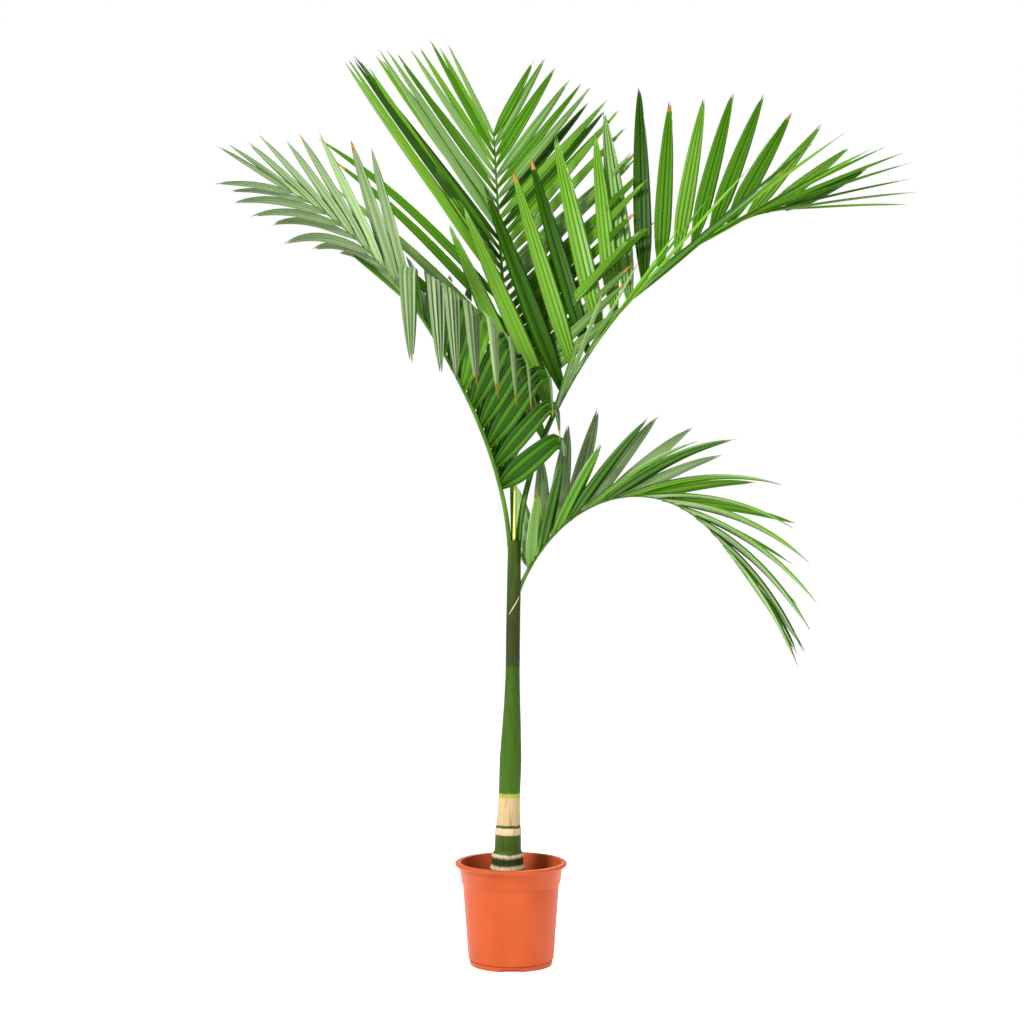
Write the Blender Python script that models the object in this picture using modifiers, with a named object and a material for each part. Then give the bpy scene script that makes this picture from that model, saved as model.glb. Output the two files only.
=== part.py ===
"""A young betel nut palm, about two metres tall, in a turned plastic pot.

Metres, +Z up. The origin is the centre of the pot's flat underside. The plant's
fronds reach out to +X, -X and +Y, so that -Y is the side that it is looked at from.
"""

from dataclasses import dataclass
from math import comb, cos, pi, radians, sin

import bmesh
import bpy
import numpy as np
from mathutils import Vector
from mathutils.bvhtree import BVHTree

GAP = 0.0003
UP = np.array([0.0, 0.0, 1.0])

# Pot
POT_HEIGHT = 0.218
POT_WALL = 0.0035
POT_FLOOR = 0.006
LIP_RADIUS = 0.120
LIP_HEIGHT = 0.0095
COLLAR_TOP_RADIUS = 0.1105
COLLAR_FOOT_RADIUS = 0.1062
COLLAR_FOOT = 0.173
BODY_TOP_RADIUS = 0.1036
BODY_FOOT_RADIUS = 0.0915
FOOT_HEIGHT = 0.011
FOOT_RADIUS = 0.0893
GROOVE_DEPTH = 0.0016
NOTCH_COUNT = 3
NOTCH_WIDTH = 0.036
NOTCH_HEIGHT = 0.0075
NOTCH_DEPTH = 0.010
POT_STEPS = 48

# Soil, well below the pot's lip
SOIL_TOP = 0.155

# Trunk: (height above the pot's underside, radius, sideways lean)
TRUNK_LINE = (
    (0.155, 0.0400, -0.0080),
    (0.180, 0.0385, -0.0080),
    (0.204, 0.0368, -0.0075),
    (0.212, 0.0335, -0.0074),
    (0.232, 0.0338, -0.0072),
    (0.243, 0.0285, -0.0068),
    (0.285, 0.0278, -0.0062),
    (0.298, 0.0257, -0.0058),
    (0.355, 0.0232, -0.0035),
    (0.435, 0.0238, -0.0010),
    (0.500, 0.0205, 0.0010),
    (0.560, 0.0172, 0.0025),
    (0.620, 0.0152, 0.0035),
    (0.720, 0.0150, 0.0045),
    (0.810, 0.0148, 0.0062),
    (0.860, 0.0142, 0.0068),
    (0.905, 0.0135, 0.0070),
)
TRUNK_SIDES = 16
STEM_CLEARANCE = 0.010  # how far past the trunk's side the upper fronds' feet are cut level with its top

# The unopened leaf
SPEAR_LENGTH = 0.24
SPEAR_RADIUS = 0.0038

# Fronds
RIB_STEPS = 24
RIB_SIDES = 6
CAP_STEP = 0.003  # share of a rib that sets the slope of its end face
RIB_TIP_RADIUS = 0.0016
LEAF_THICKNESS = 0.0105  # of the leaflet's own length
ROOT_WIDTH = 0.3  # of the leaflet's full width
CHANCE = (1.5, 0.03, 0.08, 3.0)  # spread of a leaflet's angle, length, width and lift
NUDGES = (0.0, 7.0, -7.0, 14.0, -14.0)  # degrees that a leaflet is lifted to clear another frond

LEAF_GREEN = (0.08, 0.24, 0.02)
STEM_GREEN = (0.06, 0.17, 0.015)
TERRACOTTA = (0.72, 0.16, 0.055)
SOIL_BROWN = (0.06, 0.035, 0.02)
SPEAR_YELLOW = (0.62, 0.62, 0.12)


@dataclass
class Fold:
    """Leaflets of a row's first part that break over and hang."""

    last: float  # how far along the row they go, 0 to 1
    place: tuple  # where along the leaflet it breaks
    hang: tuple = (0.05, -0.22, -1.0)


@dataclass
class Row:
    """One side of a frond. Each tuple runs from the frond's foot to its tip."""

    side: int  # 1 is the left of the frond's heading
    first: float  # where the row starts along the rib
    count: int
    angle: tuple  # degrees between leaflet and rib
    lift: tuple  # degrees that the row is raised, as one side of a V
    length: tuple
    width: tuple
    droop: tuple = (0.0,)
    fold: Fold = None
    steps: int = 4
    last: float = 0.995  # where the row ends along the rib


@dataclass
class Frond:
    """A rib that sets out from its root by heading and rise, with a row on each side."""

    name: str
    root: tuple
    length: float
    rise: tuple  # degrees above level
    heading: tuple  # degrees from +X towards +Y
    rows: tuple
    roll: tuple = (0.0,)  # degrees that its left side is turned up
    rib_radius: float = 0.0065
    seed: int = 0
    parts: tuple = ((0.0, 1.0, ""),)  # stretches of rib that are nodes of their own


FRONDS = (
    Frond(
        name="frond_right",
        root=(0.0155, 0.001, 0.890),
        length=1.12,
        rise=(88, 52, 55, 36, 8),
        heading=(28,),
        roll=(25, 45, 50),
        seed=1,
        rows=(
            Row(1, 0.22, 17, (44, 52, 40, 18), (20, 20, 15), (0.54, 0.46, 0.52, 0.30),
                (0.036, 0.036, 0.032, 0.020), (0.0, 0.0, 0.05)),
            Row(-1, 0.26, 16, (44, 36, 26, 16), (70, 55, 45, 40), (0.20, 0.50, 0.60, 0.31),
                (0.034, 0.034, 0.030, 0.020), (0.0, 0.1, 0.1)),
        ),
    ),
    Frond(
        name="frond_back",
        root=(0.0065, 0.0075, 0.890),
        length=1.02,
        rise=(82, 64, 62, 72),
        heading=(97, 97, 99),
        roll=(0, 12),
        seed=2,
        rows=(
            Row(1, 0.36, 5, (44, 44), (5, 15), (0.50, 0.56), (0.022, 0.024), (0.15, 0.35), last=0.56),
            Row(1, 0.60, 17, (42, 50, 46, 32), (25, 23, 16), (0.60, 0.48, 0.38, 0.23),
                (0.026, 0.026, 0.022, 0.018)),
            Row(-1, 0.32, 26, (54, 47, 50, 27), (30, 25, 18), (0.34, 0.54, 0.42, 0.23),
                (0.026, 0.026, 0.022, 0.018)),
        ),
    ),
    Frond(
        name="frond_left",
        root=(-0.0015, 0.0, 0.890),
        length=0.945,
        rise=(87, 55, 63, 27),
        heading=(172,),
        roll=(10, 20),
        seed=3,
        rows=(
            Row(1, 0.14, 19, (66, 60, 20, 14), (52, 50, 20, 5), (0.26, 0.44, 0.32, 0.19),
                (0.044, 0.044, 0.036, 0.020), (0.1,), Fold(0.52, (0.8, 0.5, 0.35)), 8),
            Row(-1, 0.16, 19, (45, 46, 52, 16), (60, 40, -10, -20), (0.30, 0.38, 0.38, 0.19),
                (0.034, 0.034, 0.030, 0.020), (0.0, 0.3, 0.9, 0.3)),
        ),
    ),
    Frond(
        name="frond_lower",
        root=(0.0150, 0.0, 0.795),
        length=0.665,
        rise=(70, 42, 33, -80, -47),
        heading=(4,),
        rib_radius=0.0055,
        seed=4,
        parts=((0.0, 0.51, "_inner"), (0.51, 1.0, "_outer")),
        rows=(
            Row(1, 0.09, 15, (50, 45, 34, 10), (40, 30, 10, 0), (0.22, 0.40, 0.48, 0.20),
                (0.042, 0.038, 0.034, 0.020), (0.05, 0.25, 0.3)),
            Row(-1, 0.09, 15, (45, 40, 30, 12), (30, 25, 5, 0), (0.20, 0.38, 0.46, 0.20),
                (0.042, 0.038, 0.034, 0.020), (0.05, 0.25, 1.2, 1.0)),
        ),
    ),
)


def clear_scene():
    for obj in list(bpy.data.objects):
        bpy.data.objects.remove(obj, do_unlink=True)


def new_collection(name):
    collection = bpy.data.collections.new(name)
    bpy.context.scene.collection.children.link(collection)
    return collection


def material(name, colour, roughness):
    made = bpy.data.materials.new(name)
    made.use_nodes = True
    principled = made.node_tree.nodes["Principled BSDF"]
    principled.inputs["Base Color"].default_value = (*colour, 1.0)
    principled.inputs["Roughness"].default_value = roughness
    return made


def new_object(name, data, collection, look=None):
    obj = bpy.data.objects.new(name, data)
    collection.objects.link(obj)
    if look:
        data.materials.append(look)
    return obj


def mesh_from_bmesh(name, bm):
    bmesh.ops.recalc_face_normals(bm, faces=bm.faces)
    mesh = bpy.data.meshes.new(name)
    bm.to_mesh(mesh)
    bm.free()
    return mesh


def evaluated_mesh(obj):
    """The object's mesh with its modifiers or bevel in it, its loose caps welded on."""
    graph = bpy.context.evaluated_depsgraph_get()
    mesh = bpy.data.meshes.new_from_object(obj.evaluated_get(graph))
    bm = bmesh.new()
    bm.from_mesh(mesh)
    bmesh.ops.remove_doubles(bm, verts=bm.verts, dist=1e-6)
    bmesh.ops.recalc_face_normals(bm, faces=bm.faces)
    bm.to_mesh(mesh)
    bm.free()
    return mesh


def turned(name, profile, steps, collection, look):
    """A closed solid from a profile of (radius, height) points, turned about the Z axis."""
    mesh = bpy.data.meshes.new(name)
    points = [(radius, 0.0, height) for radius, height in profile]
    mesh.from_pydata(points, [(i, i + 1) for i in range(len(points) - 1)], [])
    obj = new_object(name, mesh, collection, look)
    screw = obj.modifiers.new("Turn", "SCREW")
    screw.steps = steps
    screw.render_steps = steps
    screw.use_merge_vertices = True
    screw.merge_threshold = 0.00005
    return obj


def tube(name, points, radii, sides, collection):
    """A tapering closed tube along points, as a mesh object."""
    curve = bpy.data.curves.new(name, "CURVE")
    curve.dimensions = "3D"
    curve.bevel_depth = 1.0
    curve.bevel_resolution = (sides - 4) // 2
    curve.use_fill_caps = True
    spline = curve.splines.new("POLY")
    spline.points.add(len(points) - 1)
    for place, point, radius in zip(spline.points, points, radii):
        place.co = (*point, 1.0)
        place.radius = radius
    guide = new_object(name + "_guide", curve, collection)
    bpy.context.view_layer.update()
    obj = new_object(name, evaluated_mesh(guide), collection)
    bpy.data.objects.remove(guide, do_unlink=True)
    return obj


def boolean(obj, operation, other, solver="EXACT"):
    """Applies one Boolean with an object or a collection, and removes what it used up."""
    modifier = obj.modifiers.new("Boolean", "BOOLEAN")
    modifier.operation = operation
    modifier.solver = solver
    used = [other]
    if isinstance(other, bpy.types.Collection):
        modifier.operand_type = "COLLECTION"
        modifier.collection = other
        used = list(other.objects)
    else:
        modifier.object = other
    bpy.context.view_layer.update()
    mesh = evaluated_mesh(obj)
    obj.modifiers.clear()
    obj.data = mesh
    for piece in used:
        bpy.data.objects.remove(piece, do_unlink=True)


def arc(centre, radius, start, end, count):
    """Profile points on an arc, with angles in degrees from the outward direction."""
    turns = [radians(start + (end - start) * i / (count - 1)) for i in range(count)]
    return [(centre[0] + radius * cos(a), centre[1] + radius * sin(a)) for a in turns]


def body_radius(height):
    """The pot's outer radius below its collar."""
    share = (height - FOOT_HEIGHT) / (COLLAR_FOOT - FOOT_HEIGHT)
    return BODY_FOOT_RADIUS + (BODY_TOP_RADIUS - BODY_FOOT_RADIUS) * share


def make_pot(parts, cutters):
    lip_under = POT_HEIGHT - LIP_HEIGHT
    lip_round = LIP_HEIGHT / 2
    lip_inner = COLLAR_TOP_RADIUS - POT_WALL
    profile = [
        (0.0, POT_FLOOR),
        (body_radius(FOOT_HEIGHT) - POT_WALL, POT_FLOOR),
        (body_radius(COLLAR_FOOT) - POT_WALL, COLLAR_FOOT),
        (lip_inner, POT_HEIGHT - 0.004),
        (lip_inner + 0.003, POT_HEIGHT),
        *arc((LIP_RADIUS - lip_round, POT_HEIGHT - lip_round), lip_round, 90, -90, 7),
        (COLLAR_TOP_RADIUS, lip_under),
        (COLLAR_FOOT_RADIUS, COLLAR_FOOT),
        (body_radius(COLLAR_FOOT - 0.002), COLLAR_FOOT - 0.002),
        (body_radius(FOOT_HEIGHT + 0.002), FOOT_HEIGHT + 0.002),
        (FOOT_RADIUS - GROOVE_DEPTH, FOOT_HEIGHT),
        (FOOT_RADIUS, FOOT_HEIGHT - 0.002),
        (FOOT_RADIUS - 0.0015, 0.0),
        (0.0, 0.0),
    ]
    pot = turned("pot", profile, POT_STEPS, parts, material("pot", TERRACOTTA, 0.4))
    for i in range(NOTCH_COUNT):
        bearing = 2 * pi * i / NOTCH_COUNT - pi / 2 + radians(1.5)
        reach = FOOT_RADIUS - NOTCH_DEPTH / 2 + 0.005
        bpy.ops.mesh.primitive_cube_add(
            size=1.0,
            location=(reach * cos(bearing), reach * sin(bearing), 0.0),
            rotation=(0.0, 0.0, bearing),
            scale=(NOTCH_DEPTH + 0.01, NOTCH_WIDTH, 2 * NOTCH_HEIGHT),
        )
        cutter = bpy.context.object
        cutter.name = f"notch_cutter_{i}"
        bpy.context.collection.objects.unlink(cutter)
        cutters.objects.link(cutter)
        cutter.hide_render = True
        cutter.display_type = "WIRE"
        modifier = pot.modifiers.new(cutter.name, "BOOLEAN")
        modifier.operation = "DIFFERENCE"
        modifier.object = cutter
    return pot


def make_soil(parts):
    floor = POT_FLOOR + GAP
    foot = body_radius(FOOT_HEIGHT) - POT_WALL - GAP
    top = body_radius(SOIL_TOP) - POT_WALL - 2 * GAP
    profile = [(0.0, SOIL_TOP), (top - 0.012, SOIL_TOP), (top, SOIL_TOP - 0.004), (foot, floor), (0.0, floor)]
    return turned("soil", profile, 40, parts, material("soil", SOIL_BROWN, 0.95))


def make_trunk(name, collection, grow=0.0, top_gap=0.0):
    """The trunk and its crownshaft, or the larger copy that clears the fronds' feet."""
    points = [(lean, 0.0, height) for height, _, lean in TRUNK_LINE]
    radii = [radius + grow for _, radius, _ in TRUNK_LINE]
    points[0] = (points[0][0], 0.0, SOIL_TOP + GAP)
    points[-1] = (points[-1][0], 0.0, points[-1][2] + top_gap)
    return tube(name, points, radii, TRUNK_SIDES, collection)


def blend(values, s):
    """Bezier blend of evenly spread values at s, 0 to 1."""
    last = len(values) - 1
    return sum(comb(last, i) * s**i * (1 - s) ** (last - i) * v for i, v in enumerate(values))


def unit(vector):
    return vector / np.linalg.norm(vector)


class Rib:
    """A frond's midrib, stepped from its root by heading and rise."""

    def __init__(self, frond):
        self.frond = frond
        self.fine = 4 * RIB_STEPS
        step = frond.length / self.fine
        self.points = [np.array(frond.root)]
        for i in range(self.fine):
            self.points.append(self.points[-1] + step * self.direction((i + 0.5) / self.fine))

    def direction(self, s):
        heading = radians(blend(self.frond.heading, s))
        rise = radians(blend(self.frond.rise, s))
        return np.array([cos(rise) * cos(heading), cos(rise) * sin(heading), sin(rise)])

    def point(self, s):
        place = s * self.fine
        low = min(int(place), self.fine - 1)
        return self.points[low] + (place - low) * (self.points[low + 1] - self.points[low])

    def radius(self, s):
        return RIB_TIP_RADIUS + (self.frond.rib_radius - RIB_TIP_RADIUS) * (1 - s) ** 0.8

    def frame(self, s):
        """Its direction, its left side and its upper side at s, with the frond's roll."""
        along = self.direction(s)
        heading = radians(blend(self.frond.heading, s))
        left = np.array([-sin(heading), cos(heading), 0.0])
        upper = np.cross(along, left)
        roll = radians(blend(self.frond.roll, s))
        return along, cos(roll) * left + sin(roll) * upper, cos(roll) * upper - sin(roll) * left


def leaf_width(u):
    """Half width at u along a leaflet, as a share of its widest half."""
    if u < 0.3:
        return ROOT_WIDTH + (1 - ROOT_WIDTH) * sin(pi / 2 * u / 0.3)
    return max(cos(pi / 2 * (u - 0.3) / 0.7) ** 0.8, 0.08)


def leaflet_path(rib, row, share, place, lift, chance):
    """A leaflet's points and directions, from the middle of the rib to its tip."""
    along, left, upper = rib.frame(place)
    angle = radians(blend(row.angle, share) + chance[0])
    raised = radians(lift)
    outward = cos(raised) * row.side * left + sin(raised) * upper
    start = cos(angle) * along + sin(angle) * outward
    length = blend(row.length, share) * (1 + chance[1])
    droop = blend(row.droop, share)
    points = [rib.point(place)]
    directions = []
    for i in range(row.steps):
        u = (i + 0.5) / row.steps
        direction = start - droop * u**1.6 * UP
        if row.fold and share <= row.fold.last:
            fold_at = blend(row.fold.place, share / row.fold.last)
            over = min(max((u - fold_at) * row.steps / 2 + 0.5, 0.0), 1.0)
            direction = (1 - over) * direction + over * unit(np.array(row.fold.hang))
        directions.append(unit(direction))
        points.append(points[-1] + directions[-1] * length / row.steps)
    ends = [directions[0], *directions, directions[-1]]
    tangents = [unit(ends[i] + ends[i + 1]) for i in range(row.steps + 1)]
    return points, tangents, unit(along - along.dot(start) * start), length


def leaflet_bmesh(rib, row, share, place, lift, chance):
    """A thin blade laid along its path, in the plane of its row."""
    points, tangents, across, length = leaflet_path(rib, row, share, place, lift, chance)
    half = blend(row.width, share) * (1 + chance[2]) / 2
    bm = bmesh.new()
    bmesh.ops.create_grid(bm, x_segments=1, y_segments=row.steps, size=0.5)
    sides = []
    for tangent in tangents:
        across = unit(across - across.dot(tangent) * tangent)
        sides.append(across)
    for vert in bm.verts:
        i = round((vert.co.y + 0.5) * row.steps)
        reach = 2 * vert.co.x * half * leaf_width(i / row.steps)
        vert.co = Vector(points[i] + reach * sides[i])
    bmesh.ops.solidify(bm, geom=bm.faces[:], thickness=LEAF_THICKNESS * length)
    bmesh.ops.recalc_face_normals(bm, faces=bm.faces)
    return bm


def make_leaflet(rib, row, share, place, chance, others, name, leaves):
    """Adds a leaflet that keeps clear of the other fronds, raised or lowered if it must be."""
    for nudge in NUDGES:
        lift = blend(row.lift, share) + chance[3] + nudge
        bm = leaflet_bmesh(rib, row, share, place, lift, chance)
        tree = BVHTree.FromBMesh(bm, epsilon=GAP)
        if not any(tree.overlap(other) for other in others):
            new_object(name, mesh_from_bmesh(name, bm), leaves)
            return tree
        bm.free()
    return None


def tree_of(obj):
    bm = bmesh.new()
    bm.from_mesh(obj.data)
    bm.transform(obj.matrix_world)
    tree = BVHTree.FromBMesh(bm, epsilon=GAP)
    bm.free()
    return tree


class Limb:
    """One node of a frond: a stretch of its rib, with the leaflets that stand on it."""

    def __init__(self, frond, rib, start, end, suffix, parts, look):
        self.name = frond.name + suffix
        self.end = end
        if start > 0:
            start += GAP / frond.length
        count = max(2, round(RIB_STEPS * (end - start)))
        along = [start + (end - start) * i / count for i in range(count + 1)]
        along[1:1] = [start + CAP_STEP]
        along[-1:-1] = [end - CAP_STEP]
        points = [rib.point(s) for s in along]
        self.stem = tube(self.name, points, [rib.radius(s) for s in along], RIB_SIDES, parts)
        self.stem.data.materials.append(look)
        self.leaves = new_collection(self.name + "_leaves")
        self.trees = [tree_of(self.stem)]

    def join(self):
        boolean(self.stem, "UNION", self.leaves, "MANIFOLD")
        bpy.data.collections.remove(self.leaves)


def make_leaflets(frond, rib, limbs, others):
    """Both rows of a frond. others holds the shapes of the plant's other pieces."""
    rng = np.random.default_rng(frond.seed)
    left_out = 0
    for row in frond.rows:
        for i in range(row.count):
            share = i / (row.count - 1)
            place = row.first + (row.last - row.first) * share
            chance = rng.normal(0.0, 1.0, 4) * CHANCE
            limb = next(limb for limb in limbs if place < limb.end)
            near = [tree for other in limbs if other is not limb for tree in other.trees]
            name = f"{limb.name}_leaflet_{row.side}_{i}"
            tree = make_leaflet(rib, row, share, place, chance, others + near, name, limb.leaves)
            if tree:
                limb.trees.append(tree)
            else:
                left_out += 1
    print(frond.name, "leaflets left out:", left_out)


def make_spear(parts, look):
    """The unopened leaf, a slim cone that stands among the fronds' stems."""
    height, _, lean = TRUNK_LINE[-1]
    bpy.ops.mesh.primitive_cone_add(
        vertices=8,
        radius1=SPEAR_RADIUS,
        radius2=0.0012,
        depth=SPEAR_LENGTH,
        location=(lean, -0.0072, height + GAP + SPEAR_LENGTH / 2),
    )
    spear = bpy.context.object
    spear.name = "spear"
    spear.data.materials.append(look)
    bpy.context.collection.objects.unlink(spear)
    parts.objects.link(spear)
    bpy.context.view_layer.update()
    return spear


def main():
    clear_scene()
    parts = new_collection("betel_nut_palm")
    cutters = new_collection("cutters")
    cutters.hide_render = True
    make_pot(parts, cutters)
    make_soil(parts)
    trunk = make_trunk("trunk", parts)
    trunk.data.materials.append(material("trunk", STEM_GREEN, 0.5))
    spear = make_spear(parts, material("spear", SPEAR_YELLOW, 0.5))
    look = material("foliage", LEAF_GREEN, 0.4)
    ribs = [Rib(frond) for frond in FRONDS]
    fronds = [
        [Limb(frond, rib, *part, parts, look) for part in frond.parts]
        for frond, rib in zip(FRONDS, ribs)
    ]
    for frond, rib, limbs in zip(FRONDS, ribs, fronds):
        others = [tree_of(spear)]
        others += [tree for group in fronds if group is not limbs for limb in group for tree in limb.trees]
        make_leaflets(frond, rib, limbs, others)
    for limbs in fronds:
        for limb in limbs:
            limb.join()
        on_top = limbs[0].stem.name != "frond_lower_inner"
        grow = STEM_CLEARANCE if on_top else GAP
        cutter = make_trunk("trunk_clearance", cutters, grow, GAP)
        boolean(limbs[0].stem, "DIFFERENCE", cutter, "MANIFOLD")


main()
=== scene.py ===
"""A young betel nut palm in a turned plastic pot, with its fine leaflets, bark and finishes.

Metres, +Z up. The origin is the centre of the pot's flat underside, and the palm is
looked at from -Y. Every piece is placed by the same sizes that the fixed frame has.
"""

from dataclasses import dataclass
from math import comb, cos, exp, pi, radians, sin

import bmesh
import bpy
import numpy as np
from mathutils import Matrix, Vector, noise


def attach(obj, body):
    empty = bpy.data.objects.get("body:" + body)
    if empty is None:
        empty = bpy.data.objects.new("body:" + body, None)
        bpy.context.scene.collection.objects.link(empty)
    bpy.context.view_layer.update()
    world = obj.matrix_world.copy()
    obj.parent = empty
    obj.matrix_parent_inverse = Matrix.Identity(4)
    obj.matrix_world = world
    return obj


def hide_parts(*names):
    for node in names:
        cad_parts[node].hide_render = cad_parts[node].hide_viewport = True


bl_info = {
    "name": "Betel Nut Palm",
    "version": (1, 0, 0),
    "blender": (4, 5, 0),
    "location": "View3D > Sidebar > Palm",
    "description": "Grows a young potted betel nut palm with pleated leaflets and a ringed stem",
    "category": "Object",
}

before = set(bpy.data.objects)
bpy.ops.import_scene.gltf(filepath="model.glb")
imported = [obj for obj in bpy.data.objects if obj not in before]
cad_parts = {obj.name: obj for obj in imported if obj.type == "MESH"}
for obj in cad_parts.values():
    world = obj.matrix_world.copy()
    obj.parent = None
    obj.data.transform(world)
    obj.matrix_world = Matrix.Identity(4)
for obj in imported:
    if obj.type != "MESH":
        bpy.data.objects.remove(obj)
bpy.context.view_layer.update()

UP = np.array([0.0, 0.0, 1.0])
WHITE = (1.0, 1.0, 1.0)
BLACK = (0.0, 0.0, 0.0)
MERGE_DISTANCE = 0.00001
GRID_HALF = 0.5  # half the side of the flat grid that most meshes start from

# Camera, level and facing +Y
IMAGE_SIDE = 1024  # pixels
FOCAL_PIXELS = 1913.5
SENSOR = 36.0  # millimetres
CAMERA_PLACE = (0.0021, -4.1, 0.966)

# Floor and sky
FLOOR_RADIUS = 40.0
FLOOR_SIDES = 64
FLOOR_GLOW = 0.43  # brings the floor up to the white behind the palm
SKY_LIGHT = 0.6  # strength that lights the palm
SKY_SEEN = 1.0  # strength that the camera sees

# Lamps: (name, place, turn in degrees, width, watts)
LAMPS = (
    ("key", (-2.4, -2.6, 3.4), (48, 0, -42), 1.1, 300.0),
    ("fill", (3.2, -2.4, 1.6), (75, 0, 55), 2.5, 40.0),
    ("rim", (0.8, 3.0, 3.2), (-52, 0, -15), 2.0, 120.0),
)

# Pot
POT_HEIGHT = 0.218
POT_WALL = 0.0035
POT_FLOOR = 0.006
POT_CORNER = 0.004  # bevel inside the pot, at its floor and below its lip
POT_SIDES = 144
POT_SHARP = 35  # degrees
LIP_RADIUS = 0.120
LIP_HEIGHT = 0.0095
LIP_POINTS = 13
LIP_INNER_EDGE = ((0.0009, 0.0012), (0.003, 0.0))  # (outward of the wall, below the top)
COLLAR_TOP_RADIUS = 0.1105
COLLAR_TOP_BEVEL = (0.0006, 0.0008)  # outward, down
COLLAR_FOOT_RADIUS = 0.1062
COLLAR_FOOT_BEVEL = (0.0008, 0.001)  # inward, up
COLLAR_FOOT = 0.173
BODY_TOP_RADIUS = 0.1036
BODY_FOOT_RADIUS = 0.0915
BODY_STEP = 0.002  # how far below the collar the body starts, and how far above the foot it ends
FOOT_HEIGHT = 0.011
FOOT_RADIUS = 0.0893
FOOT_BEVEL = 0.002
FOOT_TAPER = (0.0002, 0.0015)  # how far the foot draws in at the notches' roof and at the floor
GROOVE_DEPTH = 0.0016
GROOVE_HEIGHT = 0.0008
NOTCH_COUNT = 3
NOTCH_WIDTH = 0.036
NOTCH_HEIGHT = 0.0075
NOTCH_DEPTH = 0.010
NOTCH_TURN = radians(1.5)
NOTCH_SINK = 0.97  # share of its radius to which a notch's roof is drawn in
NOTCH_DROP = 0.0003  # how far a notch's roof lies below NOTCH_HEIGHT
NOTCH_EDGE = 0.001  # a point nearer than this to the notches' inner side stays on the floor
ON_FLOOR = 0.0001  # a lower point stands on the floor

# Soil
SOIL_TOP = 0.155
SOIL_SINK = 0.001  # how far the surface lies below SOIL_TOP
SOIL_GAP = 0.0006  # to the pot's wall and floor
SOIL_FOOT_GAP = 0.005  # to the pot's wall, at the foot
SOIL_RINGS = 26
SOIL_SIDES = 120
SOIL_RELIEF = 0.004
SOIL_NOISE = (0.6, 2.0, 4)  # increment, lacunarity and octaves
SOIL_NOISE_SCALE = 55.0
SOIL_NOISE_SLICE = 0.3
SOIL_NOISE_MIDDLE = 0.6  # the value that leaves the surface level

# Trunk: (height above the pot's underside, radius, sideways lean)
TRUNK_LINE = (
    (0.155, 0.0400, -0.0080),
    (0.180, 0.0385, -0.0080),
    (0.204, 0.0368, -0.0075),
    (0.212, 0.0335, -0.0074),
    (0.232, 0.0338, -0.0072),
    (0.243, 0.0285, -0.0068),
    (0.285, 0.0278, -0.0062),
    (0.298, 0.0257, -0.0058),
    (0.355, 0.0232, -0.0035),
    (0.435, 0.0238, -0.0010),
    (0.500, 0.0205, 0.0010),
    (0.560, 0.0172, 0.0025),
    (0.620, 0.0152, 0.0035),
    (0.720, 0.0150, 0.0045),
    (0.810, 0.0148, 0.0062),
    (0.860, 0.0142, 0.0068),
    (0.905, 0.0135, 0.0070),
)
TRUNK_SIDES = 72
TRUNK_STEP = 0.0035
TRUNK_SHARP = 50  # degrees
SHEATH_FOOT = 0.3553
BARK_RELIEF = 0.0005
SHEATH_RELIEF = 0.00018
BARK_NOISE = ((1.0, 9.0, 22.0), (0.4, 26.0, 60.0))  # (share of the relief, scale round, scale up)

# Rings on the trunk: (height, half height of the ring, how far it stands out)
RINGS = (
    (0.2075, 0.0045, 0.0014),
    (0.2330, 0.0040, 0.0012),
    (0.2840, 0.0065, 0.0010),
    (0.2975, 0.0014, -0.0006),
    (0.2755, 0.0012, -0.0006),
    (0.3553, 0.0014, 0.0008),
)

# The cut edge of the oldest sheath: (height, sideways place), across the front of the stem
SHEATH_EDGE = ((0.7470, -0.0045), (0.7560, 0.0010), (0.7680, 0.0085), (0.7800, 0.0150), (0.7860, 0.0178))
SHEATH_EDGE_RADIUS = 0.0011
SHEATH_EDGE_END = 0.35  # share of the radius that the two ends have
SHEATH_EDGE_SLANT = 0.7  # share of the radius that goes sideways, and down, square to the edge
SHEATH_EDGE_ROWS = 20
SHEATH_EDGE_SIDES = 10

# The unopened leaf
SPEAR_LENGTH = 0.24
SPEAR_RADIUS = 0.0038
SPEAR_FORWARD = -0.0072
SPEAR_TAPER = 0.7  # share of the radius that the tip loses
SPEAR_CURVE = 1.5
SPEAR_PLEATS = 5
SPEAR_PLEAT = 0.08  # share of the radius
SPEAR_BOW = 0.0015
SPEAR_ROWS = 24
SPEAR_SIDES = 20

# Ribs of the fronds
RIB_STEPS = 96
RIB_ROWS = 72
RIB_SIDES = 12
RIB_TIP_RADIUS = 0.0016
RIB_TAPER = 0.8  # power by which the radius falls off towards the tip
RIB_FLAT = 0.55  # height of the flat upper side, as a share of the radius

# Leaflets
ROOT_WIDTH = 0.3  # at the rib, as a share of the widest
WIDEST = 0.3  # share of the length where a leaflet is widest
END_CURVE = 0.62  # power of the outline past the widest place, lower for a blunter end
END_WIDTH = 0.14  # at the tip, as a share of the widest
DROOP_CURVE = 1.6  # power by which the droop grows towards the tip
FOLD_SPEED = 4  # a fold takes one over this of the leaflet's length
CHANCE = (1.5, 0.03, 0.08, 3.0)  # spread of the angle in degrees, length, width, and lift in degrees
LEAF_FULLNESS = 1.15  # width against the widths of the rows
PLEAT = 0.09  # height of a pleat's crest, as a share of the widest half width
PLEAT_FADE = 6  # the pleats flatten over one over this of the leaflet, at its end
KEEL = 0.10  # how far the edges bend back, as a share of the half width there
FRAY = (-0.022, 0.008)  # how far each point of the end lies back or forward
TIP_SHARE = 0.93  # share of a leaflet's length where its dry tip starts
TIP_SPREAD = (-0.03, 0.10)  # added to that share by chance
BLADE_ROWS = 16
BLADE_COLUMNS = 8
BLADE_SHARP = 12  # degrees
BLADE_THICKNESS = 0.0005
HIGHLIGHT_STRIP_EVERY = 4  # columns from one painted highlight strip, along a pleat, to the next
FIRST_HIGHLIGHT_STRIP = 1  # the first column with a painted highlight strip
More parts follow.
